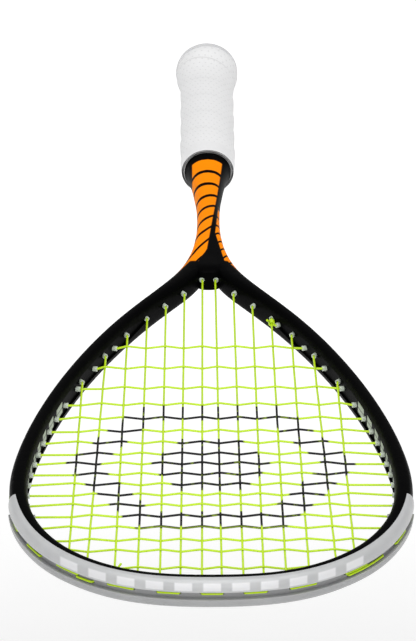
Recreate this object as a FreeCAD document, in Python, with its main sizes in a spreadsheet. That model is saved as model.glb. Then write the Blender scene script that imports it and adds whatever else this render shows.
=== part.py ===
"""Squash racket: a hollow carbon frame, its guards and grommets, one string, and the handle.

The row frame: the butt's end face is at the origin, the racket lies along Y with its head towards
-Y, and the strings lie in the plane z = 0. All sizes are in millimetres.
"""
import FreeCAD, Part
import Sketcher
import math
import os

Vector = FreeCAD.Vector
UP = Vector(0, 0, 1)

doc = FreeCAD.newDocument("SquashRacket")

# ---------------------------------------------------------------- driving dimensions

SIZES = [
    ("total_length", 685, "tip of the bumper guard to the end of the butt cap"),
    ("wall", 1.6, "carbon wall of the hollow frame, top and bottom"),
    ("side_wall", 2.9, "carbon at the sides, where the grooves are cut in"),
    ("corner_power", 3.0, "squareness of the frame's section, 2 is an ellipse"),
    ("string_width", 1.2, "diameter of the string"),
    ("lane", 0.8, "mains leave the frame this far above the middle, crosses below"),
    ("weave", 0.72, "height of a string's corner where it passes another"),
    ("weave_radius", 10, "bend of a string as it passes another"),
    ("hole_width", 3.1, "string hole drilled through the frame"),
    ("barrel_width", 2.9, "outside of a grommet's barrel"),
    ("barrel_bore", 1.9, "inside of a grommet's barrel"),
    ("barrel_stand", 2.2, "how far a barrel stands out of the inner wall"),
    ("joint_depth", 1.0, "where a string's run meets its loop, inside the barrel"),
    ("lip_radius", 1.2, "rounding of a barrel's outer lip"),
    ("corner_radius", 0.75, "bend of the string over that lip"),
    ("knot_radius", 1.27, "a knot's turns, round the string they hold"),
    ("hole_pitch", 6.4, "least distance between two holes along the wall"),
    ("recess_depth", 1.3, "channel along the inner wall"),
    ("groove_width", 5.3, "string groove along the outer wall"),
    ("groove_depth", 1.9, "depth of that groove on the arms"),
    ("groove_depth_tip", 0.3, "depth of that groove at the tip"),
    ("strip_floor", 0.8, "plastic under the string in the groove"),
    ("slot_width", 4.4, "open slot along the bumper guard"),
    ("bumper_tip", 2.6, "bumper guard's thickness at the tip"),
    ("bumper_end", 1.0, "bumper guard's thickness at its two ends"),
    ("bumper_lap", 3.1, "how far the bumper guard laps over the frame"),
    ("bumper_lip", 0.9, "thickness of that lap"),
    ("fit_gap", 0.05, "gap left between pieces that are pushed together"),
    ("grip_length", 162, "length of the wrapped handle"),
    ("grip_start_half_width", 15.9, "outside of the grip at its head end, across"),
    ("grip_start_half_height", 14.5, "outside of the grip at its head end, through"),
    ("grip_half_width", 17.15, "outside of the grip, across"),
    ("grip_half_height", 14.9, "outside of the grip, through"),
    ("grip_thickness", 1.8, "thickness of the grip wrap"),
    ("butt_half_width", 20.0, "outside of the flared end, across"),
    ("butt_half_height", 19.9, "outside of the flared end, through"),
    ("butt_flare", 36, "length over which the handle flares"),
    ("cap_skirt", 24, "how far the butt cap reaches over the pallet"),
    ("cap_wall", 1.2, "thickness of the butt cap's skirt"),
    ("cap_end", 7, "thickness of the butt cap's end"),
    ("core_half_width", 11, "carbon tail inside the handle, across"),
    ("core_half_height", 8.5, "carbon tail inside the handle, through"),
    ("core_wall", 1.8, "wall of the carbon tail"),
    ("tape_length", 13, "length of the finishing tape"),
    ("tape_thickness", 0.25, "thickness of the finishing tape"),
    ("staple_seat", 16.8, "height of a staple's top above the middle"),
    ("staple_place", 15, "distance of the staples from the butt's end"),
    ("staple_crown", 8, "width of a staple"),
    ("staple_leg", 5, "depth of a staple"),
    ("staple_wire", 0.8, "thickness of a staple's wire"),
]

sheet = doc.addObject("Spreadsheet::Sheet", "Sizes")
for row, (name, value, note) in enumerate(SIZES, start=1):
    sheet.set(f"A{row}", name)
    sheet.set(f"B{row}", str(value))
    sheet.setAlias(f"B{row}", name)
    sheet.set(f"C{row}", note)
doc.recompute()


def size(name):
    return float(sheet.get(name))


LENGTH = size("total_length")
STRING = size("string_width")
GAP = size("fit_gap")

# The head's middle line, tip to shaft: across, distance from the tip, half width, half height.
HEAD_LINE = [
    (0, 7.8, 5.2, 7.3),
    (39.1, 12.4, 5.15, 7.3),
    (70.5, 30.6, 5.1, 7.4),
    (92.9, 62.6, 5.1, 8.0),
    (101.4, 100, 5.0, 9.3),
    (99.4, 138.7, 4.8, 10.1),
    (90.2, 187, 4.4, 10.1),
    (70.6, 250.7, 4.3, 9.5),
    (48.1, 302.5, 4.3, 9.0),
    (27.0, 340.7, 4.7, 8.4),
    (16.7, 358.7, 5.9, 7.9),
    (10.5, 372.5, 6.5, 7.5),
    (6.8, 388, 5.8, 7.3),
    (4.8, 404, 4.7, 7.2),
    (3.6, 425, 3.5, 7.1),
]
# The shaft: distance from the tip, half width, half height and squareness.
SHAFT_LINE = [
    (367.5, 5.5, 5.6, 3.0),
    (370, 8.5, 6.9, 3.0),
    (385, 10.5, 7.2, 3.0),
    (400, 9.2, 7.2, 2.9),
    (415, 8.2, 7.2, 2.8),
    (430, 7.2, 7.2, 2.6),
    (450, 6.75, 7.3, 2.4),
    (470, 7.3, 7.6, 2.3),
    (487, 8.7, 8.8, 2.2),
    (498, 9.8, 9.8, 2.1),
    (508, 11.2, 10.9, 2.1),
    (516, 12.8, 12.1, 2.1),
    (522.5, 14.3, 13.1, 2.1),
]
# The strings: main strings from the middle outwards, at the tip and at the throat, and the cross
# strings from the throat to the tip, as distances from the tip.
MAINS_AT_TIP = [5.1, 16.2, 26.7, 38.3, 50.3, 62.7, 76.0]
MAINS_AT_THROAT = [5.0, 15.3, 26.0, 36.7, 47.8, 59.7, 72.5]
CROSSES = [282, 256.5, 233, 212, 195.5, 180.5, 167, 154, 143, 131, 119.5, 108, 96.5, 84.5,
           72, 58.5, 45, 30]


# ---------------------------------------------------------------- the head's middle line

class Head:
    """The head's middle line, left arm to right arm, with the section's half sizes along it."""

    def __init__(self, rows):
        right = [(x, d - LENGTH, a, b) for x, d, a, b in rows]
        left = [(-x, y, a, b) for x, y, a, b in reversed(right[1:])]
        table = left + right
        points = [Vector(x, y, 0) for x, y, a, b in table]
        reach = [0.0]
        for here, there in zip(points, points[1:]):
            reach.append(reach[-1] + here.distanceToPoint(there))
        tip = reach[len(left)]
        places = [r - tip for r in reach]
        self.line = Part.BSplineCurve()
        self.line.interpolate(Points=points, Parameters=places)
        halves = [Vector(row[2], row[3], place) for row, place in zip(table, places)]
        self.halves = Part.BSplineCurve()
        self.halves.interpolate(Points=halves, Parameters=places)
        self.end = places[-1]

    def half_width(self, t):
        return self.halves.value(t).x

    def half_height(self, t):
        return self.halves.value(t).y

    def outward(self, t):
        return self.line.tangent(t)[0].cross(UP)

    def point(self, t, out=0.0, up=0.0):
        """A point beside the middle line: out from it in the plane, and up."""
        return self.line.value(t) + self.outward(t) * out + UP * up

    def place_where(self, out, measure, wanted, low, high):
        """The place between low and high where measure of the line offset by out(t) is wanted."""
        def miss(t):
            return measure(self.point(t, out(t))) - wanted
        rising = miss(low) < 0
        for step in range(40):
            middle = (low + high) / 2
            if (miss(middle) < 0) == rising:
                low = middle
            else:
                high = middle
        return (low + high) / 2


head = Head(HEAD_LINE)
WIDEST = head.place_where(lambda t: 0, lambda p: p.y, 105 - LENGTH, 0, head.end)
BUMPER_END = head.place_where(lambda t: 0, lambda p: p.y, 91 - LENGTH, 0, head.end)
RECESS_START = BUMPER_END - 4
RECESS_END = head.place_where(lambda t: 0, lambda p: p.y, 322 - LENGTH, 0, head.end)
GROOVE_END = head.place_where(lambda t: 0, lambda p: p.y, 392 - LENGTH, 0, head.end)


def spaced(low, high, pitch):
    """Places from low to high, evenly spaced and about pitch apart."""
    count = max(1, round((high - low) / pitch))
    return [low + (high - low) * k / count for k in range(count + 1)]


def groove_depth(t):
    """The outer groove is shallow at the tip, where the bumper guard is thick."""
    share = min(1.0, abs(t) / BUMPER_END)
    return size("groove_depth_tip") + (size("groove_depth") - size("groove_depth_tip")) * share


def recess(t):
    inside = RECESS_START < abs(t) < RECESS_END
    return size("recess_depth") if inside else 0.0


def inner_wall(t):
    return recess(t) - head.half_width(t)


def string_seat(t):
    """How far outside the middle line a string's centre lies in the groove."""
    return head.half_width(t) - groove_depth(t) + size("strip_floor") + STRING / 2 + GAP


# ---------------------------------------------------------------- shapes along a line

def rounded_section(centre, across, half_width, half_height, power, count=16):
    """A closed section between an ellipse and a rectangle."""
    points = []
    for k in range(count):
        angle = 2 * math.pi * k / count
        c, s = math.cos(angle), math.sin(angle)
        w = math.copysign(abs(c) ** (2 / power), c)
        v = math.copysign(abs(s) ** (2 / power), s)
        points.append(centre + across * (half_width * w) + UP * (half_height * v))
    curve = Part.BSplineCurve()
    curve.interpolate(Points=points, PeriodicFlag=True)
    return Part.Wire([curve.toShape()])


def head_solid(low, high, grow_out=0.0, grow_in=0.0, grow_up=0.0, pitch=20):
    """The head's section from low to high, grown outwards, inwards and upwards."""
    wires = []
    for t in spaced(low, high, pitch):
        out = grow_out(t) if callable(grow_out) else grow_out
        middle = head.point(t, (out - grow_in) / 2)
        wires.append(rounded_section(middle, head.outward(t), head.half_width(t) + (out + grow_in) / 2,
                                     head.half_height(t) + grow_up, size("corner_power")))
    return Part.makeLoft(wires, True, False, False)


def band_solid(low, high, inner, outer, half_height, pitch=20):
    """A band of rectangular section along the head: inner, outer and half_height depend on t."""
    wires = []
    for t in spaced(low, high, pitch):
        tall = half_height(t)
        corners = [head.point(t, inner(t), -tall), head.point(t, outer(t), -tall),
                   head.point(t, outer(t), tall), head.point(t, inner(t), tall)]
        wires.append(Part.makePolygon(corners + corners[:1]))
    return Part.makeLoft(wires, True, False, False)


def shaft_solid(rows, shrink=0.0):
    """A solid along the shaft through sections given as in SHAFT_LINE, each made smaller."""
    wires = []
    for reach, half_width, half_height, power in rows:
        wires.append(rounded_section(Vector(0, reach - LENGTH, 0), Vector(1, 0, 0),
                                     half_width - shrink, half_height - shrink, power))
    return Part.makeLoft(wires, True, False, False)


def core_solid(start, end, grow):
    """The carbon tail's square section with rounded corners, from start to end before the tip."""
    section = size("core_half_width") + grow, size("core_half_height") + grow, 4
    return shaft_solid([(start, *section), (end, *section)])


def rounded_path(points, radius):
    """Straight runs through the points, joined by tangent arcs of at most that radius."""
    edges = []
    start = points[0]
    for before, corner, after in zip(points, points[1:], points[2:]):
        back = (before - corner).normalize()
        ahead = (after - corner).normalize()
        half_turn = (math.pi - back.getAngle(ahead)) / 2
        if half_turn < 1e-4:
            continue
        shorter = min(before.distanceToPoint(corner), after.distanceToPoint(corner))
        bend = min(radius, 0.45 * shorter / math.tan(half_turn))
        cut = bend * math.tan(half_turn)
        first = corner + back * cut
        last = corner + ahead * cut
        inward = (back + ahead).normalize()
        crown = corner + inward * (bend / math.cos(half_turn) - bend)
        edges.append(Part.LineSegment(start, first).toShape())
        edges.append(Part.Arc(first, crown, last).toShape())
        start = last
    edges.append(Part.LineSegment(start, points[-1]).toShape())
    return Part.Wire(edges)


def tube(points, radius, width=STRING):
    """A round tube along a rounded path."""
    path = rounded_path(points, radius)
    along = (points[1] - points[0]).normalize()
    ring = Part.Wire([Part.Circle(points[0], along, width / 2).toShape()])
    solid = path.makePipeShell([ring], True, False)
    right = path.Length * math.pi * width ** 2 / 4
    if abs(solid.Volume - right) > 0.02 * right:
        raise RuntimeError(f"tube volume {solid.Volume:.1f} should be {right:.1f}")
    return solid


def rod(start, end, width):
    axis = end - start
    return Part.makeCylinder(width / 2, axis.Length, start, axis)


def mirror(shape):
    return shape.mirror(Vector(0, 0, 0), Vector(1, 0, 0))


def mirrored_point(p):
    return Vector(-p.x, p.y, p.z)


# ---------------------------------------------------------------- string holes on the right side

class Hole:
    """A string hole: where it meets the inner wall, its axis, and the string's seat outside."""

    def __init__(self, name, pull, up, place):
        self.name = name
        self.pull = pull
        self.up = up
        self.place = place

    def settle(self):
        wall = head.point(self.place, inner_wall(self.place), self.up)
        self.axis = (head.outward(self.place) + self.pull).normalize()
        self.mouth = wall - self.axis * size("barrel_stand")
        self.joint = wall + self.axis * size("joint_depth")
        side = self.axis.cross(UP)
        self.exit = head.place_where(string_seat, lambda p: (p - wall).dot(side), 0.0,
                                     self.place - 25, min(self.place + 25, head.end))
        self.seat = head.point(self.exit, string_seat(self.exit), self.up)


def right_holes():
    """All string holes of the right half, by name, no two nearer than the hole pitch."""
    lane = size("lane")
    holes = []
    for k, (tip_x, throat_x) in enumerate(zip(MAINS_AT_TIP, MAINS_AT_THROAT)):
        place = head.place_where(inner_wall, lambda p: p.x, tip_x, 0, WIDEST)
        holes.append(Hole(("tip", k), Vector(0, -1, 0), lane, place))
        place = head.place_where(inner_wall, lambda p: p.x, throat_x, WIDEST, head.end - 30)
        holes.append(Hole(("throat", k), Vector(0, 1, 0), lane, place))
    for k, reach in enumerate(CROSSES):
        place = head.place_where(inner_wall, lambda p: p.y, reach - LENGTH, 10, head.end - 30)
        holes.append(Hole(("cross", k), Vector(1, 0, 0), -lane, place))
    holes.sort(key=lambda hole: hole.place)
    for sweep in range(100):
        for here, there in zip(holes, holes[1:]):
            lack = max(0.0, size("hole_pitch") - (there.place - here.place))
            here.place -= lack / 2
            there.place += lack / 2
    return {hole.name: hole for hole in holes}


holes = right_holes()
# The string's two ends come back through holes of their own, one at the throat's right, one at the
# tip's left.
throat_tie = Hole("throat_tie", Vector(0, 0, 0), -size("lane"), holes["throat", 3].place - 7)
tip_tie = Hole("tip_tie", Vector(0, 0, 0), -size("lane"), holes["tip", 4].place + 6)
for hole in [*holes.values(), throat_tie, tip_tie]:
    hole.settle()

drilled = []
for hole in holes.values():
    bit = rod(hole.mouth - hole.axis, hole.seat + hole.axis * 3, size("hole_width"))
    drilled += [bit, mirror(bit)]
drilled.append(rod(throat_tie.mouth, throat_tie.seat + throat_tie.axis * 3, size("hole_width")))
drilled.append(mirror(rod(tip_tie.mouth, tip_tie.seat + tip_tie.axis * 3, size("hole_width"))))


# ---------------------------------------------------------------- frame

def groove_half(t):
    return size("groove_width") / 2


def recess_half(t):
    """The inner channel opens to half the wall's height over its first stretch at each end."""
    run_in = min(abs(t) - RECESS_START, RECESS_END - abs(t))
    opening = min(1.0, max(0.0, run_in) / 30)
    return head.half_height(t) * (0.1 + 0.4 * opening)


def make_frame():
    handle_start = LENGTH - size("grip_length")
    core = core_solid(handle_start - 4, LENGTH - size("cap_end") - 2, 0)
    outside = head_solid(-head.end, head.end).fuse([shaft_solid(SHAFT_LINE), core])
    groove = band_solid(-GROOVE_END, GROOVE_END, lambda t: head.half_width(t) - groove_depth(t),
                        lambda t: head.half_width(t) + 4, groove_half)
    channel = band_solid(RECESS_START, RECESS_END, lambda t: -head.half_width(t) - 3,
                         lambda t: size("recess_depth") - head.half_width(t), recess_half, pitch=8)
    hollow_end = head.end - 25
    hollow = head_solid(-hollow_end, hollow_end, -size("side_wall"), -size("side_wall"), -size("wall"))
    shaft_hollow = shaft_solid([row for row in SHAFT_LINE if 400 <= row[0] <= 508], shrink=2.3)
    core_hollow = core_solid(handle_start - 18, LENGTH, -size("core_wall"))
    walls = outside.cut([groove, channel, mirror(channel)])
    return walls.cut(hollow.fuse([shaft_hollow, core_hollow])).cut(drilled)


# ---------------------------------------------------------------- guards and grommets

def barrels(group, flip=False):
    """The barrels of a group of holes, and what is bored out of them."""
    solids, bores = [], []
    for hole in group:
        solid = rod(hole.mouth, hole.seat, size("barrel_width"))
        bore = rod(hole.mouth - hole.axis, hole.seat, size("barrel_bore"))
        lip = Part.makeSphere(size("lip_radius"), hole.seat)
        solids.append(mirror(solid) if flip else solid)
        bores += [mirror(bore), mirror(lip)] if flip else [bore, lip]
    return solids, bores


def floor_inner(t):
    return head.half_width(t) - groove_depth(t) + GAP


def floor_outer(t):
    return head.half_width(t) - groove_depth(t) + size("strip_floor")


def above_floor(low, high, half_height):
    return band_solid(low, high, floor_outer, lambda t: head.half_width(t) + 6, lambda t: half_height)


def grommet_strip(low, high, group, flip=False):
    """A strip along the outer groove with a barrel for each hole."""
    strip = band_solid(low, high, floor_inner, lambda t: floor_outer(t) + 1, lambda t: groove_half(t) - GAP)
    if flip:
        strip = mirror(strip)
    solids, bores = barrels(group, flip)
    over = above_floor(low - 4, high + 4, 5)
    return strip.fuse(solids).cut([mirror(over) if flip else over, *bores])


def make_bumper(group, left_only):
    def thickness(t):
        share = abs(t) / BUMPER_END
        return size("bumper_tip") + (size("bumper_end") - size("bumper_tip")) * share

    end = BUMPER_END
    shell = head_solid(-end, end, grow_out=thickness, grow_up=size("bumper_lip"))
    inside = head_solid(-end - 6, end + 6, grow_out=GAP, grow_in=GAP, grow_up=GAP)
    inboard = band_solid(-end - 6, end + 6, lambda t: -head.half_width(t) - 3,
                         lambda t: head.half_width(t) - size("bumper_lap"), lambda t: 14)
    keel = band_solid(-end, end, floor_inner, lambda t: head.half_width(t) + thickness(t) / 2,
                      lambda t: groove_half(t) - GAP)
    right, right_bores = barrels(group)
    left, left_bores = barrels(group + left_only, flip=True)
    slot = above_floor(-end - 6, end + 6, size("slot_width") / 2)
    guard = shell.cut([inside, inboard]).fuse([keel, *right, *left])
    return guard.cut([slot, *right_bores, *left_bores])


bumper_holes = [hole for hole in holes.values() if hole.exit < BUMPER_END - 2]
side_holes = [hole for hole in holes.values() if BUMPER_END - 2 < hole.exit < 371]
throat_holes = [hole for hole in holes.values() if hole.exit > 371]


# ---------------------------------------------------------------- string

def main_line(k):
    """Ends of main k on the right: its mouths at the tip and at the throat."""
    return holes["tip", k].mouth, holes["throat", k].mouth


def main_across(k, y):
    low, high = main_line(k)
    return low.x + (high.x - low.x) * (y - low.y) / (high.y - low.y)


def signed_mains():
    """The mains left to right: order, side and number from the middle."""
    left = [(-1, k) for k in reversed(range(len(MAINS_AT_TIP)))]
    right = [(1, k) for k in range(len(MAINS_AT_TIP))]
    return list(enumerate(left + right))


def passes(k, j):
    """Whether main k and cross j pass each other inside the head."""
    low, high = main_line(k)
    y = holes["cross", j].mouth.y
    return low.y + 2 < y < high.y - 2 and main_across(k, y) < holes["cross", j].mouth.x - 2


def weave(order, j):
    return size("weave") if (order + j) % 2 else -size("weave")


def flipped(point, side):
    return point if side > 0 else mirrored_point(point)


def main_run(order, side, k):
    tip, throat = holes["tip", k], holes["throat", k]
    points = [tip.joint, tip.mouth]
    for j in reversed(range(len(CROSSES))):
        if passes(k, j):
            y = holes["cross", j].mouth.y
            points.append(Vector(main_across(k, y), y, weave(order, j)))
    points += [throat.mouth, throat.joint]
    return [flipped(point, side) for point in points]


def cross_run(j):
    hole = holes["cross", j]
    points = [mirrored_point(hole.joint), mirrored_point(hole.mouth)]
    for order, (side, k) in signed_mains():
        if passes(k, j):
            y = hole.mouth.y
            points.append(Vector(side * main_across(k, y), y, -weave(order, j)))
    return points + [hole.mouth, hole.joint]


def seat_points(start, end, up, pitch=9):
    places = spaced(start, end, pitch)[1:-1] if end > start else spaced(end, start, pitch)[-2:0:-1]
    return [head.point(t, string_seat(t), up) for t in places]


def loop(here, there, side=1):
    """The string outside the frame, from one hole to the next in its own lane."""
    points = [here.joint, here.seat, *seat_points(here.exit, there.exit, here.up), there.seat,
              there.joint]
    return tube([flipped(point, side) for point in points], size("corner_radius"))


def middle_loop(here):
    """The loop across the tip, between the two middle mains."""
    seats = [head.point(t, string_seat(t), here.up) for t in spaced(-here.exit, here.exit, 9)[1:-1]]
    points = [mirrored_point(here.joint), mirrored_point(here.seat), *seats, here.seat, here.joint]
    return tube(points, size("corner_radius"))


def make_loops():
    loops = [middle_loop(holes["tip", 0])]
    for side in (-1, 1):
        for k in (1, 3, 5):
            loops.append(loop(holes["tip", k], holes["tip", k + 1], side))
        for k in (0, 2, 4):
            loops.append(loop(holes["throat", k], holes["throat", k + 1], side))
    for j in range(len(CROSSES) - 1):
        side = 1 if j % 2 == 0 else -1
        loops.append(loop(holes["cross", j + 1], holes["cross", j], side))
    # From the last main on the left into the first cross, changing lanes on the way.
    here, there = holes["throat", 6], holes["cross", 0]
    lane = size("lane")
    change = [(312, lane), (319, lane), (331, -lane), (337, -lane)]
    points = [here.joint, here.seat]
    points += [head.point(t, string_seat(t), up) for t, up in change]
    points += [there.seat, there.joint]
    loops.append(tube([mirrored_point(point) for point in points], size("corner_radius")))
    return Part.makeCompound(loops)


def knot(run, out, strand):
    """A hitch of three turns round a string's run, with the strand that makes it and its tail."""
    along = (run[1] - run[0]).normalize()
    middle = run[0] + along * out
    across = strand[-1] - middle
    across = (across - along * across.dot(along)).normalize()
    ring = size("knot_radius")
    turns = [Part.makeTorus(ring, STRING / 2, middle + along * step, along) for step in (-1.0, 0, 1.0)]
    arrive = tube([*strand, middle + across * ring], size("corner_radius") * 2)
    tail_start = middle - across * ring + along
    tail = rod(tail_start, tail_start + (along * 3 - across * 2 + UP * 2), STRING)
    return turns[0].fuse([*turns[1:], arrive, tail])


def make_tie_offs():
    lane = size("lane")
    start = holes["throat", 6]
    over = [(312, lane, 0), (322, lane, 0), (329, lane * 0.6, 0.6), (336, 0, 1.1), (343, 0, 1.1),
            (350, -lane * 0.6, 0.6), (357, -lane, 0), (366, -lane, 0)]
    route = [start.joint, start.seat]
    route += [head.point(t, string_seat(t) + rise, up) for t, up, rise in over]
    route += [throat_tie.seat, throat_tie.mouth - throat_tie.axis * 0.5]
    run = main_run(10, 1, 3)[::-1][1:3]
    at_throat = knot(run, 4.5, route)

    last = holes["cross", 17]
    route = [last.joint, last.seat, *seat_points(last.exit, tip_tie.exit, tip_tie.up),
             tip_tie.seat, tip_tie.mouth - tip_tie.axis * 0.5]
    run = main_run(9, 1, 4)[1:3]
    at_tip = mirror(knot(run, 4.5, route))
    return Part.makeCompound([at_throat, at_tip])


# ---------------------------------------------------------------- the moulded and strung pieces

def piece(label, shape):
    """A document object for a sub-part whose shape is made by the functions above."""
    feature = doc.addObject("Part::Feature", label)
    feature.Label = label
    feature.Shape = shape
    return feature


subparts = [
    piece("frame", make_frame()),
    piece("bumper_guard", make_bumper(bumper_holes, [tip_tie])),
    piece("grommet_strip_right", grommet_strip(BUMPER_END + 0.5, 371, side_holes)),
    piece("grommet_strip_left", grommet_strip(BUMPER_END + 0.5, 371, side_holes, flip=True)),
    piece("throat_grommets_right", grommet_strip(372, GROOVE_END - 1, throat_holes + [throat_tie])),
    piece("throat_grommets_left", grommet_strip(372, GROOVE_END - 1, throat_holes, flip=True)),
    piece("string_mains", Part.makeCompound([tube(main_run(order, side, k), size("weave_radius"))
                                             for order, (side, k) in signed_mains()])),
    piece("string_crosses", Part.makeCompound([tube(cross_run(j), size("weave_radius"))
                                               for j in range(len(CROSSES))])),
    piece("string_loops", make_loops()),
    piece("string_tie_offs", make_tie_offs()),
]


# ---------------------------------------------------------------- handle

def ellipse(label, place, across, through):
    """A closed ellipse across the handle, its place and half sizes bound to the sheet."""
    curve = doc.addObject("Part::Ellipse", label)
    curve.Placement = FreeCAD.Placement(Vector(0, 0, 0), FreeCAD.Rotation(Vector(1, 0, 0), 90))
    curve.setExpression("MajorRadius", across)
    curve.setExpression("MinorRadius", through)
    curve.setExpression(".Placement.Base.y", place)
    return curve


def handle_loft(label, less):
    """The handle's outer form, made smaller all round by less."""
    rows = [("-Sizes.grip_length", "grip_start", 1), ("-Sizes.grip_length + 9", "grip_start", 0.45),
            ("-Sizes.grip_length + 20", "grip_start", 0.05), ("-Sizes.grip_length * 0.7", "butt", 0),
            ("-Sizes.grip_length * 0.45", "butt", 0), ("-Sizes.butt_flare - 14", "butt", 0),
            ("-Sizes.butt_flare", "butt", 0.05), ("-Sizes.butt_flare * 0.62", "butt", 0.45),
            ("-Sizes.butt_flare * 0.36", "butt", 0.93), ("-Sizes.cap_end", "butt", 1)]
    sections = []
    for number, (place, other, share) in enumerate(rows):
        across = f"Sizes.grip_half_width * {1 - share} + Sizes.{other}_half_width * {share}"
        through = f"Sizes.grip_half_height * {1 - share} + Sizes.{other}_half_height * {share}"
        sections.append(ellipse(f"{label}_section_{number}", place, f"{across} - {less}",
                                f"{through} - {less}"))
    loft = doc.addObject("Part::Loft", label)
    loft.Sections = sections
    loft.Solid = True
    loft.Ruled = False
    return loft


def block(label, start, end, low=-30, high=30):
    """A box round the handle between two places along it and two heights."""
    box = doc.addObject("Part::Box", label)
    box.Width = 1
    box.Length = 80
    box.Height = high - low
    box.Placement.Base = Vector(-40, 0, low)
    box.setExpression(".Placement.Base.y", start)
    box.setExpression("Width", f"{end} - ({start})")
    return box


def cut(label, base, tool):
    result = doc.addObject("Part::Cut", label)
    result.Base = base
    result.Tool = tool
    return result


def common(label, first, second):
    result = doc.addObject("Part::MultiCommon", label)
    result.Shapes = [first, second]
    return result


def fuse(label, *shapes):
    result = doc.addObject("Part::MultiFuse", label)
    result.Shapes = list(shapes)
    return result


def core_space(label):
    """The carbon tail with the glue gap round it."""
    start = LENGTH - size("grip_length") - 1
    return piece(label, core_solid(start, LENGTH - size("cap_end") - 1, GAP))


def staple():
    """One wire staple, a flat crown and two legs, pushed down into the cap and pallet."""
    body = doc.addObject("PartDesign::Body", "staple_body")
    sketch = body.newObject("Sketcher::SketchObject", "staple_outline")
    plane = [feature for feature in body.Origin.OriginFeatures if feature.Role == "XZ_Plane"][0]
    sketch.AttachmentSupport = [(plane, "")]
    sketch.MapMode = "FlatFace"
    half, wire = size("staple_crown") / 2, size("staple_wire")
    top, foot = size("staple_seat"), size("staple_seat") - size("staple_leg")
    corners = [(-half, foot), (-half, top), (half, top), (half, foot), (half - wire, foot),
               (half - wire, top - wire), (wire - half, top - wire), (wire - half, foot)]
    lines = [Part.LineSegment(Vector(*a, 0), Vector(*b, 0))
             for a, b in zip(corners, corners[1:] + corners[:1])]
    sketch.addGeometry(lines, False)
    for k in range(8):
        sketch.addConstraint(Sketcher.Constraint("Coincident", k, 2, (k + 1) % 8, 1))
        sketch.addConstraint(Sketcher.Constraint("Vertical" if k % 2 == 0 else "Horizontal", k))
    bound = [("DistanceY", (-1, 1, 0, 2), top, "Sizes.staple_seat"),
             ("DistanceY", (0, 1, 0, 2), size("staple_leg"), "Sizes.staple_leg"),
             ("DistanceX", (1, 1, 1, 2), size("staple_crown"), "Sizes.staple_crown"),
             ("DistanceX", (-1, 1, 1, 2), half, "Sizes.staple_crown / 2"),
             ("DistanceX", (3, 2, 3, 1), wire, "Sizes.staple_wire"),
             ("DistanceX", (7, 1, 7, 2), -wire, "-Sizes.staple_wire"),
             ("DistanceY", (4, 1, 4, 2), size("staple_leg") - wire,
              "Sizes.staple_leg - Sizes.staple_wire"),
             ("DistanceY", (2, 2, 2, 1), size("staple_leg"), "Sizes.staple_leg")]
    for kind, ends, value, formula in bound:
        number = sketch.addConstraint(Sketcher.Constraint(kind, *ends, value))
        sketch.setExpression(f"Constraints[{number}]", formula)
    pad = body.newObject("PartDesign::Pad", "staple_pad")
    pad.Profile = sketch
    pad.setExpression("Length", "Sizes.staple_wire")
    body.setExpression(".Placement.Base.y", "-Sizes.staple_place")
    return body


def sleeve(label, more):
    """A short sleeve's outer form round the head end of the grip, grown by more."""
    rows = [("-Sizes.grip_length", 1), ("-Sizes.grip_length + 9", 0.45),
            ("-Sizes.grip_length + Sizes.tape_length", 0.27)]
    sections = []
    for number, (place, share) in enumerate(rows):
        across = f"Sizes.grip_half_width * {1 - share} + Sizes.grip_start_half_width * {share}"
        through = f"Sizes.grip_half_height * {1 - share} + Sizes.grip_start_half_height * {share}"
        sections.append(ellipse(f"{label}_section_{number}", place, f"{across} + {more}",
                                f"{through} + {more}"))
    loft = doc.addObject("Part::Loft", label)
    loft.Sections = sections
    loft.Solid = True
    return loft


def cap_end_form():
    """The rounded end of the butt cap."""
    rows = [("-Sizes.cap_end", 0.05), ("-Sizes.cap_end * 0.5", 0.1), ("-Sizes.cap_end * 0.2", 0.55),
            ("-Sizes.cap_end * 0.06", 1.2), ("0", 2.3)]
    sections = [ellipse(f"cap_end_section_{number}", place, f"Sizes.butt_half_width - {less}",
                        f"Sizes.butt_half_height - {less}")
                for number, (place, less) in enumerate(rows)]
    loft = doc.addObject("Part::Loft", "cap_end_form")
    loft.Sections = sections
    loft.Solid = True
    return loft


grip_outside = handle_loft("grip_outside", "0")
grip_inside = handle_loft("grip_inside", "(Sizes.grip_thickness - Sizes.fit_gap)")
pallet_form = handle_loft("pallet_form", "Sizes.grip_thickness")
skirt_inside = handle_loft("skirt_inside", "(Sizes.grip_thickness + Sizes.cap_wall)")

staple_above = staple()
staple_below = doc.addObject("Part::Mirroring", "staple_below")
staple_below.Source = staple_above
staple_below.Normal = UP
staples = doc.addObject("Part::Compound", "butt_cap_staples")
staples.Links = [staple_above, staple_below]

skirt_start = "-Sizes.cap_skirt"
full_pallet = common("full_pallet", pallet_form,
                     block("pallet_reach", "-Sizes.grip_length - 1", "-Sizes.cap_skirt - Sizes.fit_gap"))
stepped_pallet = common("stepped_pallet", skirt_inside,
                        block("step_reach", "-Sizes.cap_skirt - 2", "-Sizes.cap_end - Sizes.fit_gap"))
pallet = fuse("whole_pallet", full_pallet, stepped_pallet)
hollow_pallet = cut("hollow_pallet", pallet, core_space("core_space"))
stapled_pallet = cut("stapled_pallet", hollow_pallet, staples)
whole_reach = "-Sizes.grip_length - 1", "1"
pallet_upper = common("pallet_upper", stapled_pallet, block("upper_half", *whole_reach, low=0))
pallet_lower = common("pallet_lower", stapled_pallet, block("lower_half", *whole_reach, high=0))

skirt_block = common("skirt_form", pallet_form, block("skirt_reach", skirt_start, "-Sizes.cap_end"))
skirt = cut("skirt", skirt_block, skirt_inside)
butt_cap = cut("butt_cap", fuse("plain_cap", skirt, cap_end_form()), staples)

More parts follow.
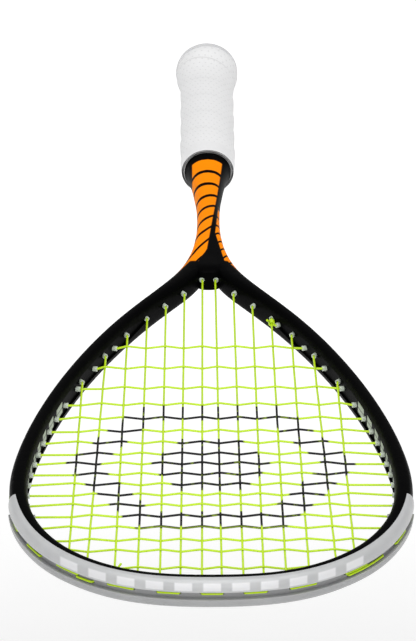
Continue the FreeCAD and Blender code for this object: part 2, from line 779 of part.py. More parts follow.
grip_body = common("grip_body", grip_outside,
                   block("grip_reach", "-Sizes.grip_length - 1", "-Sizes.cap_end - Sizes.fit_gap"))
grip_wrap = cut("grip_wrap", grip_body, grip_inside)
finishing_tape = cut("finishing_tape", sleeve("tape_outside", "Sizes.tape_thickness"),
                     sleeve("tape_inside", "0.02"))

doc.recompute()
subparts += [staples, pallet_upper, pallet_lower, butt_cap, grip_wrap, finishing_tape]

# ---------------------------------------------------------------- checks and files

for item in doc.Objects:
    if "Invalid" in item.State or "Error" in item.State:
        raise RuntimeError(f"{item.Label} did not compute: {item.State}")
os.makedirs("parts", exist_ok=True)
for item in subparts:
    shape = item.Shape
    if shape.isNull() or not shape.isValid():
        raise RuntimeError(f"{item.Label} has no valid shape")
    print(f"{item.Label}: {len(shape.Solids)} solids, {shape.Volume / 1000:.2f} cm3")
for item in subparts:
    item.Shape.exportStep(f"parts/{item.Label}.step")
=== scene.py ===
"""A squash racket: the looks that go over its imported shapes."""

from math import atan2, cos, pi, radians, sin

import bpy
from bpy.props import FloatProperty, FloatVectorProperty, IntProperty, PointerProperty
from bpy.types import Operator, Panel, PropertyGroup
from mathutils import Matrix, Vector
from mathutils.bvhtree import BVHTree


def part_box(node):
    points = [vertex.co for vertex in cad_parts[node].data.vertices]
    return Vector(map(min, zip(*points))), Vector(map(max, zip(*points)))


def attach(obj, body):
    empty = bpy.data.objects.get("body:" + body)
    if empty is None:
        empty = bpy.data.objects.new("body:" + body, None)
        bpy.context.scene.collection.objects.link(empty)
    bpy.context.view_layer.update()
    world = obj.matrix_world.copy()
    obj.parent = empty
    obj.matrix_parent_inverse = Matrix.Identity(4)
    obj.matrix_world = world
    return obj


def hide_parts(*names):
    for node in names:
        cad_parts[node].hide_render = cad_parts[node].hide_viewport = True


bl_info = {
    "name": "Squash racket",
    "version": (1, 0, 0),
    "blender": (4, 5, 0),
    "location": "3D View > Sidebar > Racket",
    "description": "Builds the finished look of a squash racket around its packed parts",
    "category": "Object",
}

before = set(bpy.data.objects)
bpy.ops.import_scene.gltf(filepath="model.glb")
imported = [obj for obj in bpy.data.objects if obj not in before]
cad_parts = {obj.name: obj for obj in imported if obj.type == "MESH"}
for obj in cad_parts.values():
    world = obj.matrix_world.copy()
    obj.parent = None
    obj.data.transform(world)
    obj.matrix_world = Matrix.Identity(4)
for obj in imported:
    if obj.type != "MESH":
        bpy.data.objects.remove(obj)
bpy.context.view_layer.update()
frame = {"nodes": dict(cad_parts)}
MM = 0.001
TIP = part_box("bumper_guard")[0].y
HAND_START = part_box("grip_wrap")[0].y
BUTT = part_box("butt_cap")[1].y
BUMPER_TRIANGLES = 120000
BARREL_TRIANGLES = 40000
STRING_TRIANGLES = 190000
CAP_TRIANGLES = 60000
# Black of the thin band painted at the wrap's end, where it meets the shaft
WRAP_END_BLACK = (0.003, 0.003, 0.003)
LAP_STEP = 0.045    # share of one turn of the wrap that its step up takes


# ---------------------------------------------------------------- settings

def colour(name, description, default):
    """A colour setting."""
    return FloatVectorProperty(name=name, description=description, subtype="COLOR", size=3,
                               min=0, max=1, default=default)


def length(name, description, default):
    """A length setting, in metres."""
    return FloatProperty(name=name, description=description, subtype="DISTANCE", unit="LENGTH",
                         min=0, default=default)


class FrameSettings(PropertyGroup):
    """The lacquered carbon and its marks."""
    paint: colour("Paint", "Colour of the lacquered carbon", (0.0009, 0.0009, 0.0010))
    bars: colour("Bars", "Colour of the slanted bars on the shaft", (0.98, 0.26, 0.002))
    dashes: colour("Dashes", "Colour of the dashes between the inner string holes",
                   (0.47, 0.52, 0.43))
    bar_pitch: length("Bar pitch", "Distance from one slanted bar to the next", 0.0152)
    bar_gap: length("Bar gap", "Width of the black line between two bars", 0.0034)
    fineness: IntProperty(name="Faces", description="About how many triangles the frame keeps",
                          default=170000, min=20000, max=190000)


class PlasticSettings(PropertyGroup):
    """The moulded nylon pieces."""
    guard: colour("Guard", "Colour of the milky bumper", (0.42, 0.425, 0.43))
    guard_marks: colour("Guard marks", "Colour of the dashes on the bumper", (0.66, 0.66, 0.67))
    grommet: colour("Grommets", "Colour of the string barrels", (0.50, 0.56, 0.46))
    cap: colour("Cap", "Colour of the butt cap", (0.66, 0.66, 0.67))


class StringSettings(PropertyGroup):
    """The string and the ink on the bed."""
    coat: colour("Coat", "Colour of the string", (0.50, 0.73, 0.010))
    stencil: colour("Stencil", "Colour of the ink on the string bed", (0.006, 0.006, 0.007))
    stencil_size: length("Stencil size", "Radius of the hexagon on the string bed", 0.079)
    stencil_line: length("Stencil line", "Width of the hexagon's line", 0.019)


class GripSettings(PropertyGroup):
    """The cushion wrap on the handle."""
    wrap: colour("Wrap", "Colour of the grip", (0.80, 0.80, 0.805))
    pitch: length("Wrap pitch", "Distance from one turn of the wrap to the next", 0.0265)
    lap: length("Lap height", "Height of the step where two turns overlap", 0.00055)
    around: IntProperty(name="Around", description="Faces round the grip", default=144, min=32)
    along: IntProperty(name="Along", description="Faces along the grip, in tens", default=34,
                       min=10)


class StageSettings(PropertyGroup):
    """The floor and the light."""
    floor: colour("Floor", "Colour of the floor", (0.9, 0.9, 0.9))
    drop: length("Floor depth", "How far the floor lies under the racket", 0.65)
    glow: FloatProperty(name="Floor glow", description="How much the floor lights itself up",
                        default=0.6, min=0)
    sky: FloatProperty(name="Sky", description="Brightness of the room round the racket",
                       default=0.45, min=0)
    key: FloatProperty(name="Key light", description="Power of the soft light overhead",
                       subtype="POWER", unit="POWER", default=27, min=0)


class RacketSettings(PropertyGroup):
    """All of the racket's settings."""
    frame: PointerProperty(type=FrameSettings, name="Frame", description="The painted frame")
    plastic: PointerProperty(type=PlasticSettings, name="Plastic",
                             description="The bumper, grommets and butt cap")
    strings: PointerProperty(type=StringSettings, name="Strings", description="The string bed")
    grip: PointerProperty(type=GripSettings, name="Grip", description="The wrapped handle")
    stage: PointerProperty(type=StageSettings, name="Stage", description="Floor and light")


def settings():
    """The racket's settings, as the panel shows them."""
    return bpy.context.scene.racket


# ---------------------------------------------------------------- shader sums

class Wire:
    """A shader socket that can be used in sums; each sum adds its Math node."""

    def __init__(self, paint, socket):
        self.paint = paint
        self.socket = socket

    def math(self, operation, *values):
        """A Math node of an operation, fed with the values in order."""
        return self.paint.node("Math", {"operation": operation}, dict(enumerate(values)))

    def __add__(self, other):
        return self.math("ADD", self, other)

    def __radd__(self, other):
        return self.math("ADD", other, self)

    def __sub__(self, other):
        return self.math("SUBTRACT", self, other)

    def __rsub__(self, other):
        return self.math("SUBTRACT", other, self)

    def __mul__(self, other):
        return self.math("MULTIPLY", self, other)

    def __rmul__(self, other):
        return self.math("MULTIPLY", other, self)

    def __truediv__(self, other):
        return self.math("DIVIDE", self, other)

    def __mod__(self, other):
        return self.math("FLOORED_MODULO", self, other)

    def __pow__(self, other):
        return self.math("POWER", self, other)

    def __abs__(self):
        return self.math("ABSOLUTE", self)

    def high(self, other):
        """The higher of the two."""
        return self.math("MAXIMUM", self, other)

    def low(self, other):
        """The lower of the two."""
        return self.math("MINIMUM", self, other)

    def above(self, edge, soft):
        """1 where this is above the edge, 0 below it, blended over the soft width."""
        return self.paint.clamp((self - edge) / soft + 0.5)

    def within(self, low, high, soft):
        """1 between the two edges, 0 outside them."""
        return self.above(low, soft) * (1 - self.above(high, soft))


class Paint:
    """One material while it is being mixed."""

    def __init__(self, name):
        self.material = bpy.data.materials.new(name)
        self.material.use_nodes = True
        self.nodes = self.material.node_tree.nodes
        self.shader = self.nodes["Principled BSDF"]

    def socket(self, sockets, key):
        """A socket by its place in the list, or by its name."""
        if isinstance(key, int):
            return sockets[key]
        return next(s for s in sockets if s.enabled and key in (s.name, s.identifier))

    def feed(self, socket, value):
        """Links a wire to a socket, or sets the socket to a plain value."""
        if isinstance(value, Wire):
            self.material.node_tree.links.new(value.socket, socket)
        elif getattr(socket, "type", "") == "RGBA" and len(value) == 3:
            socket.default_value = (*value, 1)
        else:
            socket.default_value = value

    def node(self, kind, setup=None, inputs=None, output=0):
        """A node of a kind, its settings made first, then the values or links of its sockets."""
        node = self.nodes.new("ShaderNode" + kind)
        for name, value in (setup or {}).items():
            setattr(node, name, value)
        for key, value in (inputs or {}).items():
            self.feed(self.socket(node.inputs, key), value)
        return Wire(self, self.socket(node.outputs, output))

    def set(self, **values):
        """Feeds the shader's own sockets, named with underscores for spaces."""
        for name, value in values.items():
            self.feed(self.shader.inputs[name.replace("_", " ")], value)

    def clamp(self, value):
        """The value held between 0 and 1."""
        return self.node("Clamp", inputs={"Value": value})

    def mix(self, share, first, second):
        """A colour that goes from the first to the second as the share rises."""
        return self.node("Mix", {"data_type": "RGBA"},
                         {"Factor": share, "A_Color": first, "B_Color": second}, "Result_Color")

    def noise(self, scale, detail=2.0, roughness=0.5):
        """Soft random clouds from 0 to 1, as many to the metre as the scale says."""
        inputs = {"Scale": scale, "Detail": detail, "Roughness": roughness,
                  "Vector": self.coordinates()}
        return self.node("TexNoise", inputs=inputs)

    def coordinates(self, output="Object"):
        """Where a point of the surface lies."""
        return self.node("TexCoord", output=output)

    def split(self, vector):
        """A vector's three numbers."""
        return [self.node("SeparateXYZ", inputs={"Vector": vector}, output=axis)
                for axis in "XYZ"]

    def millimetres(self):
        """The three coordinates in millimetres, with y counted from the racket's tip."""
        x, y, z = self.split(self.coordinates())
        return x / MM, (y - TIP) / MM, z / MM

    def bump(self, height, strength, distance=0.001):
        """Makes the surface look raised where the height is more."""
        normal = self.node("Bump", inputs={"Height": height, "Strength": strength,
                                           "Distance": distance})
        self.set(Normal=normal)


# ---------------------------------------------------------------- finishes

def shaded(tint, share):
    """A colour made darker, or lighter where the share is above 1."""
    return [min(1, channel * share) for channel in tint]


def lacquer_grain(paint):
    """Fine unevenness of sprayed lacquer."""
    return paint.noise(900, 3) * 0.6 + paint.noise(130, 2) * 0.4


def edge_line(reach, place, across, slope):
    """A boundary on the racket: how far across it lies at a place, and its slope from there."""
    return (reach - place) * slope + across


def shaft_bars(paint, look, x, reach, z):
    """Slanted bars: on the shaft's left half, its right edge and the shoulders of the arms."""
    soft = 0.5
    pitch, gap = look.bar_pitch / MM, look.bar_gap / MM
    slant = paint.clamp((490 - reach) / 100) * 2.2
    bar = 1 - abs((reach - x * slant) % pitch - pitch / 2).above(pitch / 2 - gap / 2, soft)

    left_end = edge_line(reach, 400, -0.78, 0.0828).low(edge_line(reach, 400, -0.1, 0.3))
    black_rim = x.above(-9.6, 0.4).high(1 - reach.above(470, 4))
    left = (1 - x.above(left_end, soft)) * black_rim
    right_start = edge_line(reach, 430, 4.6, 0.05).high(edge_line(reach, 415, 4.5975, -0.1335))
    right = x.above(right_start, soft) * (1 - reach.above(462, 2))
    shaft_top, shaft_foot, side_height = 380, 517.5, -4.5
    shaft = reach.within(shaft_top, shaft_foot, 1.5) * z.above(side_height, soft)

    arms_top, arms_foot, front_height = 351, 381, 1.5
    shoulder = (abs(x) + reach * 0.52).above(208.4, soft)
    arms = reach.within(arms_top, arms_foot, 1.5) * shoulder * z.above(front_height, soft)
    return bar * (shaft * left.high(right)).high(arms * 0.8)


def channel_dashes(paint, dash_places, x, reach, z):
    """Plain dashes, each with a thin notch, in the channel along the frame's inner wall."""
    channel_half, notch_height, notch_half = 3.4, -0.4, 0.5
    dashes = 0.0
    for place, half_length in dash_places:
        dashes = (1 - abs(reach - place).above(half_length, 0.6)) + dashes
    outward = paint.split(paint.coordinates("Normal"))[0] * x
    channel = (1 - abs(z).above(channel_half, 0.5)) * (1 - outward.above(0, 6))
    notch = 1 - abs(z - notch_height).above(notch_half, 0.3)
    return dashes * channel * (1 - notch * 0.55)


def grey_dash(x, reach, z):
    """One plain dash across the throat, on the front face only."""
    half_length, start, end, front_height = 4, 362.8, 365.2, 3
    across = 1 - abs(x).above(half_length, 0.4)
    return across * reach.within(start, end, 0.4) * z.above(front_height, 0.5)


def frame_paint(dash_places):
    """Black lacquer over carbon, with the orange bars, the pale dashes and one grey dash."""
    look = settings().frame
    paint = Paint("frame_paint")
    x, reach, z = paint.millimetres()
    bars = shaft_bars(paint, look, x, reach, z)
    dashes = channel_dashes(paint, dash_places, x, reach, z)
    wear = paint.noise(70, 4)
    skin = paint.mix(wear * 0.5, look.paint, shaded(look.paint, 1.6))
    skin = paint.mix(grey_dash(x, reach, z) * 0.8, skin, (0.07, 0.07, 0.075))
    skin = paint.mix(dashes, skin, look.dashes)
    skin = paint.mix(bars, skin, paint.mix(paint.noise(50, 2), look.bars, shaded(look.bars, 0.93)))
    grain = lacquer_grain(paint)
    paint.set(Base_Color=skin, Roughness=0.34 + grain * 0.12 + bars * 0.05,
              Specular_IOR_Level=0.012)
    paint.bump(grain + bars * 0.35, 0.08)
    return paint.material


def milky_nylon(name, base, marks_and_shade=False):
    """Translucent nylon; the bumper also has paler marks moulded in, and painted shade in its
    string slot and below it.
    """
    look = settings().plastic
    paint = Paint(name)
    cloud = paint.noise(95, 3)
    flow = paint.noise(28, 2)
    skin = paint.mix(cloud * 0.55 + flow * 0.35, shaded(base, 0.84), shaded(base, 1.15))
    height = paint.noise(1400, 2) * 0.4 + cloud * 0.2
    if marks_and_shade:
        marks = guard_marks(paint)
        # Painted shade: the bumper darkened in its open string slot and below it.
        skin = paint.mix(guard_shade(paint), skin, shaded(base, 0.12))
        skin = paint.mix(marks * 0.8, skin, look.guard_marks)
        height = height + marks * 0.8
    paint.set(Base_Color=skin, Roughness=0.3 + cloud * 0.16, Coat_Weight=0.2,
              Coat_Roughness=0.25, Subsurface_Weight=0.35, Subsurface_Scale=0.004,
              Subsurface_Radius=(1.0, 0.95, 0.85))
    paint.bump(height, 0.1)
    return paint.material


def guard_marks(paint):
    """A row of plain dashes along the front of the bumper, over the string slot."""
    x, reach, z = paint.millimetres()
    pitch, half_length, row_height, half_height = 14.6, 4.5, 4.9, 1.9
    row = 1 - abs(z - row_height).above(half_height, 0.6)
    dash = 1 - abs((x + pitch / 2) % pitch - pitch / 2).above(half_length, 0.8)
    row_end, last_reach = 80, 46
    return row * dash * (1 - abs(x).above(row_end, 2)) * (1 - reach.above(last_reach, 1))


def guard_shade(paint):
    """How dark the bumper looks in the open slot and below it, where less light comes through."""
    slot_half, under_height = 2.15, -1.0
    z = paint.millimetres()[2]
    slot = 1 - abs(z).above(slot_half, 0.3)
    under = 1 - z.above(under_height, 3.0)
    return (slot * 0.5).high(under * 0.30)


def string_coat():
    """Coated multifilament string, with a plain hexagon stencilled on the bed."""
    look = settings().strings
    paint = Paint("string_coat")
    x, reach, _ = paint.millimetres()
    radius, line = look.stencil_size / MM, look.stencil_line / MM
    bed_middle, soft = 140, 1.2
    across, along = abs(x), abs(reach - bed_middle)
    hexagon = (across * 0.866 + along * 0.5).high(along) / 0.866
    ring = hexagon.within(radius - line, radius, soft)
    core = 1 - hexagon.above(radius * 0.42, soft)
    worn = paint.noise(260, 3).above(0.62, 0.12)
    ink = ring.high(core) * (1 - 0.35 * worn)
    fibres = paint.noise(2600, 2)
    shade = paint.noise(40, 2)
    coat = paint.mix(shade * 0.6 + fibres * 0.25, look.coat, shaded(look.coat, 0.80))
    coat = paint.mix(ink, coat, look.stencil)
    paint.set(Base_Color=coat, Roughness=0.24 + fibres * 0.18 + ink * 0.25,
              Specular_IOR_Level=0.2, Coat_Weight=(1 - ink) * 0.15, Coat_Roughness=0.2,
              Subsurface_Weight=0.1, Subsurface_Scale=0.001, Subsurface_Radius=(1.0, 1.0, 0.3))
    paint.bump(fibres, 0.16, 0.0003)
    return paint.material


def wrap_leather():
    """Perforated cushion wrap: holes in staggered rows, fine creases, thumb-soft sheen, with
    painted shade in the holes, the creases and the lap step.
    """
    look = settings().grip
    paint = Paint("wrap_leather")
    rows_per_turn, holes_around = 6, 27
    row_gap, hole_gap, hole_radius = 4.4, 3.9, 0.52
    around, turns, _ = paint.split(paint.coordinates("UV"))
    row = turns * rows_per_turn
    column = around * holes_around
    stagger = (row - row % 1) % 2 * 0.5
    from_row = abs(row % 1 - 0.5) * row_gap
    from_column = abs((column + stagger) % 1 - 0.5) * hole_gap
    distance = (from_row * from_row + from_column * from_column) ** 0.5
    hole = 1 - distance.above(hole_radius, 0.22)
    lap = turns % 1
    edge = (1 - lap.above(LAP_STEP, 0.03)).high(lap.above(0.985, 0.02))
    grain = paint.noise(1150, 4, roughness=0.65)
    creases = paint.node("TexVoronoi", {"feature": "DISTANCE_TO_EDGE"},
                         {"Vector": paint.coordinates(), "Scale": 620})
    creases = 1 - creases.above(0.05, 0.08)
    cloud = paint.noise(34, 3)
    skin = paint.mix(cloud * 0.7, look.wrap, shaded(look.wrap, 0.93))
    # Painted shade in the creases, mixed with random darker grain.
    skin = paint.mix(creases * 0.10 + grain * 0.08, skin, shaded(look.wrap, 0.72))
    # Painted shade along the step where one turn laps over the next.
    skin = paint.mix(edge * 0.30, skin, shaded(look.wrap, 0.50))
    # Painted shade in the perforation holes.
    skin = paint.mix(hole * 0.24, skin, shaded(look.wrap, 0.40))
    skin = paint.mix(end_rim(paint), skin, WRAP_END_BLACK)
    paint.set(Base_Color=skin, Roughness=0.5 + grain * 0.22 + hole * 0.2,
              Sheen_Weight=0.12, Sheen_Roughness=0.5)
    paint.bump(grain * 0.35 - creases * 0.25 - hole * 1.6 - edge * 0.4, 0.35, 0.0006)
    return paint.material


def end_rim(paint):
    """A thin black band painted at the wrap's end, where it meets the shaft."""
    rim_width = 0.12
    reach = paint.millimetres()[1]
    return 1 - reach.above((HAND_START - TIP) / MM + rim_width, rim_width)


def tape_vinyl():
    """Smooth stretched vinyl in the wrap's colour."""
    look = settings().grip
    paint = Paint("tape_vinyl")
    fine = paint.noise(520, 3)
    strain = paint.noise(60, 2)
    skin = paint.mix(fine * 0.3 + strain * 0.4, look.wrap, shaded(look.wrap, 0.88))
    skin = paint.mix(end_rim(paint), skin, WRAP_END_BLACK)
    paint.set(Base_Color=skin, Roughness=0.34 + fine * 0.16, Coat_Weight=0.15)
    paint.bump(fine * 0.4 + strain * 0.6, 0.14)
    return paint.material


def pallet_foam():
    """Open-celled tan foam, for the pallets under the wrap."""
    paint = Paint("pallet_foam")
    cells = paint.node("TexVoronoi", inputs={"Vector": paint.coordinates(), "Scale": 900})
    cloud = paint.noise(60, 3)
    skin = paint.mix(cells * 0.5 + cloud * 0.4, (0.60, 0.52, 0.38), (0.42, 0.35, 0.24))
    paint.set(Base_Color=skin, Roughness=0.75 + cloud * 0.15)
    paint.bump(cells, 0.3, 0.0004)
    return paint.material


def staple_steel():
    """Drawn steel wire."""
    paint = Paint("staple_steel")
    drawn = paint.noise(1800, 2)
    skin = paint.mix(drawn, (0.62, 0.62, 0.61), (0.46, 0.46, 0.47))
    paint.set(Base_Color=skin, Metallic=1.0, Roughness=0.28 + drawn * 0.2)
    paint.bump(drawn, 0.1, 0.0002)
    return paint.material


def stage_paper(shade, glow):
    """White paper that lights itself up, except in a wide soft disc under the racket."""
    paint = Paint("floor_paper")
    fibres = paint.noise(40, 3)
    x, reach, _ = paint.millimetres()
    racket_middle, disc_radius, disc_blend = 350, 900, 900
    along = reach - racket_middle
    away = (x * x + along * along) ** 0.5
    light = paint.mix(away.above(disc_radius, disc_blend), (0.06, 0.06, 0.06), (1, 1, 1))
    paint.set(Base_Color=paint.mix(fibres, shade, shaded(shade, 0.985)), Roughness=0.9,
              Emission_Color=light, Emission_Strength=glow)
    return paint.material


# ---------------------------------------------------------------- shaping

def only(piece):
    """Selects one object and nothing else."""
    bpy.ops.object.select_all(action="DESELECT")
    piece.select_set(True)
    bpy.context.view_layer.objects.active = piece


def apply_modifier(piece, kind, **values):
    """Adds a modifier with its settings and applies it."""
    only(piece)
    modifier = piece.modifiers.new(kind.title(), kind)
    for name, value in values.items():
        setattr(modifier, name, value)
    bpy.ops.object.modifier_apply(modifier=modifier.name)


def finish_piece(piece, name, material, node):
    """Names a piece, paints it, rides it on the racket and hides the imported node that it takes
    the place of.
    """
    piece.name = name
    piece.data.name = name
    piece.data.materials.clear()
    piece.data.materials.append(material)
    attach(piece, "root")
    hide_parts(*([node] if isinstance(node, str) else node))


def welded(node, triangles=0):
    """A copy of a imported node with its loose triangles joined, and thinned to a count."""
    mesh = frame["nodes"][node].data.copy()
    piece = bpy.data.objects.new(node + "_welded", mesh)
    bpy.context.scene.collection.objects.link(piece)
    only(piece)
    bpy.ops.object.mode_set(mode="EDIT")
    bpy.ops.mesh.select_all(action="SELECT")
    bpy.ops.mesh.customdata_custom_splitnormals_clear()
    bpy.ops.mesh.remove_doubles(threshold=2e-6)
    bpy.ops.mesh.dissolve_degenerate(threshold=1e-6)
    bpy.ops.object.mode_set(mode="OBJECT")
    count = sum(len(face.vertices) - 2 for face in mesh.polygons)
    if triangles and count > triangles:
        apply_modifier(piece, "DECIMATE", ratio=triangles / count)
    bpy.ops.object.shade_smooth_by_angle(angle=radians(32))
    return piece


class Surface:
    """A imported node's outer surface, found along rays towards the racket's axis."""

    def __init__(self, node):
        mesh = frame["nodes"][node].data
        points = [vertex.co for vertex in mesh.vertices]
        self.tree = BVHTree.FromPolygons(points, [face.vertices[:] for face in mesh.polygons])
        self.low, self.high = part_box(node)

    def point(self, y, angle, stand=0.0):
        """The surface's point at a place along the racket and an angle, raised by a stand."""
        inset, outside = 0.05 * MM, 60 * MM
        y = min(max(y, self.low.y + inset), self.high.y - inset)
        way = Vector((cos(angle), 0, sin(angle)))
        hit = self.tree.ray_cast(Vector((0, y, 0)) + way * outside, -way)[0]
        if hit is None:
            raise RuntimeError(f"no surface at y = {y:.4f} m")
        return hit + way * stand


def sleeve(node, around, along):
    """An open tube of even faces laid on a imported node's outer surface."""
    surface = Surface(node)
    reach = surface.high.y - surface.low.y
    centre = (0, (surface.high.y + surface.low.y) / 2, 0)
    bpy.ops.object.select_all(action="DESELECT")
    bpy.ops.mesh.primitive_cylinder_add(vertices=around, radius=30 * MM, depth=reach,
                                        end_fill_type="NOTHING", location=centre,
                                        rotation=(pi / 2, 0, 0))
    piece = bpy.context.object
    bpy.ops.object.transform_apply(location=True, rotation=True, scale=True)
    for cuts in along:
        bpy.ops.object.mode_set(mode="EDIT")
        bpy.ops.mesh.select_mode(type="EDGE")
        bpy.ops.mesh.select_all(action="DESELECT")
        bpy.ops.object.mode_set(mode="OBJECT")
        for edge in piece.data.edges:
            first, last = (piece.data.vertices[i].co for i in edge.vertices)
            edge.select = abs(first.y - last.y) > 1e-7
        bpy.ops.object.mode_set(mode="EDIT")
        bpy.ops.mesh.subdivide(number_cuts=cuts)
    bpy.ops.object.mode_set(mode="OBJECT")
    return piece, surface


def smooth(share):
    """A share from 0 to 1, eased at both ends."""
    share = min(1.0, max(0.0, share))
    return share * share * (3 - 2 * share)


# ---------------------------------------------------------------- pieces

class RACKET_OT_frame(Operator):
    """Paint the carbon frame, with its bars and dashes"""
    bl_idname = "racket.frame"
    bl_label = "Frame"

    def execute(self, context):
        piece = welded("frame", settings().frame.fineness)
        finish_piece(piece, "racket_frame", frame_paint(self.dash_places()), "frame")
        return {"FINISHED"}

    def dash_places(self):
        """Places of the dashes, each between two cross strings, with its half length."""
        first, last, shortest, hole_room = 104, 213, 1.5, 3.1
        rows = sorted((y - TIP) / MM for y in cross_rows())
        places = []
        for here, there in zip(rows, rows[1:]):
            middle = (here + there) / 2
            if first < middle < last:
                places.append((middle, max(shortest, (there - here) / 2 - hole_room)))
        return places


def cross_rows():
    """Where each cross string lies along the racket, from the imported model."""
    places = sorted(vertex.co.y for vertex in frame["nodes"]["string_crosses"].data.vertices)
    clear_gap = 1.5 * MM
    rows, group = [], [places[0]]
    for y in places[1:]:
        if y - group[-1] > clear_gap:
            rows.append((group[0] + group[-1]) / 2)
            group = []
        group.append(y)
    return rows + [(group[0] + group[-1]) / 2]


class RACKET_OT_guards(Operator):
    """Mould the bumper and the grommet strips"""
    bl_idname = "racket.guards"
    bl_label = "Bumper and grommets"

    def execute(self, context):
        look = settings().plastic
        guard = milky_nylon("guard_nylon", look.guard, marks_and_shade=True)
        finish_piece(welded("bumper_guard", BUMPER_TRIANGLES), "bumper", guard,
                     "bumper_guard")
        barrel = milky_nylon("grommet_nylon", look.grommet)
        for side in ("right", "left"):
            for node in (f"grommet_strip_{side}", f"throat_grommets_{side}"):
                finish_piece(welded(node, BARREL_TRIANGLES),
                             node.replace("grommets", "barrels"), barrel, node)
        return {"FINISHED"}


class RACKET_OT_strings(Operator):
    """String the bed"""
    bl_idname = "racket.strings"
    bl_label = "Strings"

    def execute(self, context):
        coat = string_coat()
        for node in ("string_mains", "string_crosses", "string_loops", "string_tie_offs"):
            finish_piece(welded(node, STRING_TRIANGLES), node.replace("string", "bed"), coat,
                         node)
        return {"FINISHED"}


class RACKET_OT_grip(Operator):
    """Wrap the handle and tape the wrap's end"""
    bl_idname = "racket.grip"
    bl_label = "Grip"

    def execute(self, context):
        look = settings().grip
        piece, surface = sleeve("grip_wrap", look.around, (look.along - 1, 9))
        for vertex in piece.data.vertices:
            y, angle = vertex.co.y, atan2(vertex.co.z, vertex.co.x)
            share = self.turn(y, angle, look.pitch) % 1
            vertex.co = surface.point(y, angle, self.level(share, look.lap, y))
        self.lay_out(piece, look.pitch)
        self.thicken(piece, 1.2 * MM)
        finish_piece(piece, "grip_cushion", wrap_leather(), "grip_wrap")
        self.tape()
        return {"FINISHED"}

    def turn(self, y, angle, pitch):
        """How many turns of the wrap lie between the butt and a place on the grip."""
        return (BUTT - y) / pitch + angle / (2 * pi)

    def level(self, share, lap, y):
        """Height of the wrap's face across one turn: a step up at the lap, then a gentle slope."""
        slope_share, crown, flat_end = 0.9, 0.18, 12 * MM
        rise = smooth(share / LAP_STEP)
        slope = 1 - smooth((share - LAP_STEP) / slope_share)
        ends = smooth((y - HAND_START) / flat_end)
        return lap * ((rise * slope + crown * sin(pi * share)) * ends - 1.0 - crown)

    def lay_out(self, piece, pitch):
        """A UV map that runs round the grip and along the wrap's turns."""
        mesh = piece.data
        layer = mesh.uv_layers[0] if mesh.uv_layers else mesh.uv_layers.new(name="wrap")
        for face in mesh.polygons:
            middle = atan2(face.center.z, face.center.x)
            for loop in face.loop_indices:
                point = mesh.vertices[mesh.loops[loop].vertex_index].co
                angle = atan2(point.z, point.x)
                angle += 2 * pi * round((middle - angle) / (2 * pi))
                layer.data[loop].uv = (angle / (2 * pi), self.turn(point.y, angle, pitch))

    def thicken(self, piece, thickness):
        """Gives an open tube its thickness, inwards, and smooth faces."""
        apply_modifier(piece, "SOLIDIFY", thickness=thickness, offset=-1, use_rim=True)
        bpy.ops.object.shade_smooth_by_angle(angle=radians(50))

    def tape(self):
        """The finishing tape: a thin band with its free end lapped over the start."""
        lap_start, lap_fade = -2.2, -1.9
        lap_height, ripple_height, sink = 0.1, 0.02, 0.13
        piece, surface = sleeve("finishing_tape", 120, (11,))
        for vertex in piece.data.vertices:
            y, angle = vertex.co.y, atan2(vertex.co.z, vertex.co.x)
            lap = smooth((angle - lap_start) / 0.03) * (1 - smooth((angle - lap_fade) / 0.5))
            ripple = ripple_height * sin(5 * angle + y * 900)
            vertex.co = surface.point(y, angle, (lap_height * lap + ripple - sink) * MM)
        self.thicken(piece, 0.15 * MM)
        finish_piece(piece, "wrap_tape", tape_vinyl(), "finishing_tape")


class RACKET_OT_handle_ends(Operator):
    """Finish the butt cap, the foam pallets under the wrap and the staples"""
    bl_idname = "racket.handle_ends"
    bl_label = "Cap, pallets and staples"

    def execute(self, context):
        cap = milky_nylon("cap_nylon", settings().plastic.cap)
        finish_piece(welded("butt_cap", CAP_TRIANGLES), "butt_end_cap", cap, "butt_cap")
        for node, material in (("pallet_upper", pallet_foam()), ("pallet_lower", pallet_foam()),
                               ("butt_cap_staples", staple_steel())):
            mesh = frame["nodes"][node].data
            mesh.materials.clear()
            mesh.materials.append(material)
        return {"FINISHED"}


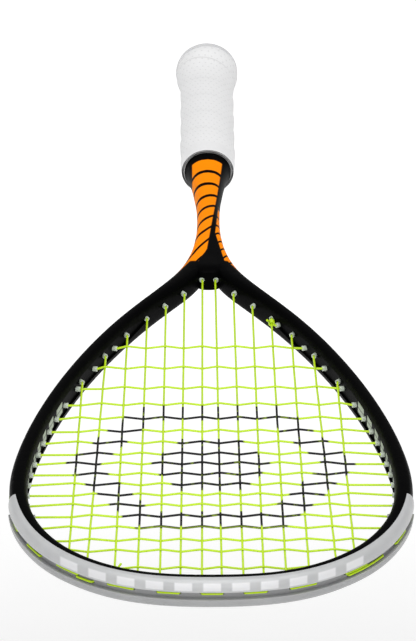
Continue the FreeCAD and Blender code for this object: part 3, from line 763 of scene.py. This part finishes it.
class RACKET_OT_stage(Operator):
    """Set the floor, the soft lights and the camera"""
    bl_idname = "racket.stage"
    bl_label = "Stage"

    def execute(self, context):
        look = settings().stage
        self.floor(look)
        self.lights(look)
        self.camera(context)
        context.scene.view_settings.view_transform = "Standard"
        return {"FINISHED"}

    def floor(self, look):
        """A plain floor, far enough below to show no shadow."""
        bpy.ops.object.select_all(action="DESELECT")
        bpy.ops.mesh.primitive_plane_add(size=60, location=(0, 0, -look.drop))
        floor_plane = bpy.context.object
        bpy.ops.object.transform_apply(location=True, rotation=True, scale=True)
        floor_plane.name = "floor"
        floor_plane.data.materials.append(stage_paper(look.floor, look.glow))

    def lights(self, look):
        """A white room, plainer and brighter where it is seen directly, and two soft lamps."""
        seen_brightness = 0.95
        world = bpy.data.worlds.new("studio")
        bpy.context.scene.world = world
        world.use_nodes = True
        nodes, links = world.node_tree.nodes, world.node_tree.links
        nodes["Background"].inputs["Color"].default_value = (1, 1, 1, 1)
        ray = nodes.new("ShaderNodeLightPath")
        strength = nodes.new("ShaderNodeMapRange")
        strength.inputs["To Min"].default_value = look.sky
        strength.inputs["To Max"].default_value = seen_brightness
        links.new(ray.outputs["Is Camera Ray"], strength.inputs["Value"])
        links.new(strength.outputs["Result"], nodes["Background"].inputs["Strength"])
        middle = (TIP + BUTT) / 2
        for name, place, size, power in (
                ("key", (0, middle - 0.5, 1.7), 1.5, look.key),
                ("front", (0, TIP - 1.6, 0.7), 1.0, look.key * 0.35)):
            bpy.ops.object.light_add(type="AREA", location=place)
            lamp = bpy.context.object
            lamp.name = name
            lamp.data.size = size
            lamp.data.energy = power
            aim = Vector((0, middle, 0)) - Vector(place)
            lamp.rotation_euler = aim.to_track_quat("-Z", "Y").to_euler()

    def camera(self, context):
        """A long lens that looks down the racket from beyond its tip."""
        stand_off, height, tilt = 1.8398, 1.0631, 26.253
        sideways, turn, lens = -0.0100, -0.2465, 235.64
        bpy.ops.object.camera_add(location=(sideways, TIP - stand_off, height),
                                  rotation=(radians(90 - tilt), 0, radians(turn)))
        camera = bpy.context.object
        camera.data.sensor_width = 36
        camera.data.lens = lens
        camera.data.clip_end = 100
        context.scene.camera = camera


class RACKET_PT_panel(Panel):
    """Lists the racket's pieces and their settings"""
    bl_idname = "RACKET_PT_panel"
    bl_label = "Squash racket"
    bl_space_type = "VIEW_3D"
    bl_region_type = "UI"
    bl_category = "Racket"

    def draw(self, context):
        groups = context.scene.racket
        for step, group in STEPS:
            box = self.layout.box()
            box.operator(step.bl_idname)
            if group:
                looks = getattr(groups, group)
                for name in looks.__annotations__:
                    box.prop(looks, name)


STEPS = (
    (RACKET_OT_stage, "stage"),
    (RACKET_OT_frame, "frame"),
    (RACKET_OT_guards, "plastic"),
    (RACKET_OT_strings, "strings"),
    (RACKET_OT_grip, "grip"),
    (RACKET_OT_handle_ends, ""),
)
CLASSES = (FrameSettings, PlasticSettings, StringSettings, GripSettings, StageSettings,
           RacketSettings, *(step for step, _ in STEPS), RACKET_PT_panel)


def register():
    """Makes the settings, the operators and the panel known to Blender."""
    for cls in CLASSES:
        bpy.utils.register_class(cls)
    bpy.types.Scene.racket = PointerProperty(type=RacketSettings)


def unregister():
    """Takes them away again, the last first."""
    del bpy.types.Scene.racket
    for cls in reversed(CLASSES):
        bpy.utils.unregister_class(cls)


def main():
    """Builds the racket's looks."""
    register()
    bpy.ops.racket.stage()
    bpy.ops.racket.frame()
    bpy.ops.racket.guards()
    bpy.ops.racket.strings()
    bpy.ops.racket.grip()
    bpy.ops.racket.handle_ends()


if __name__ == "__main__":
    main()
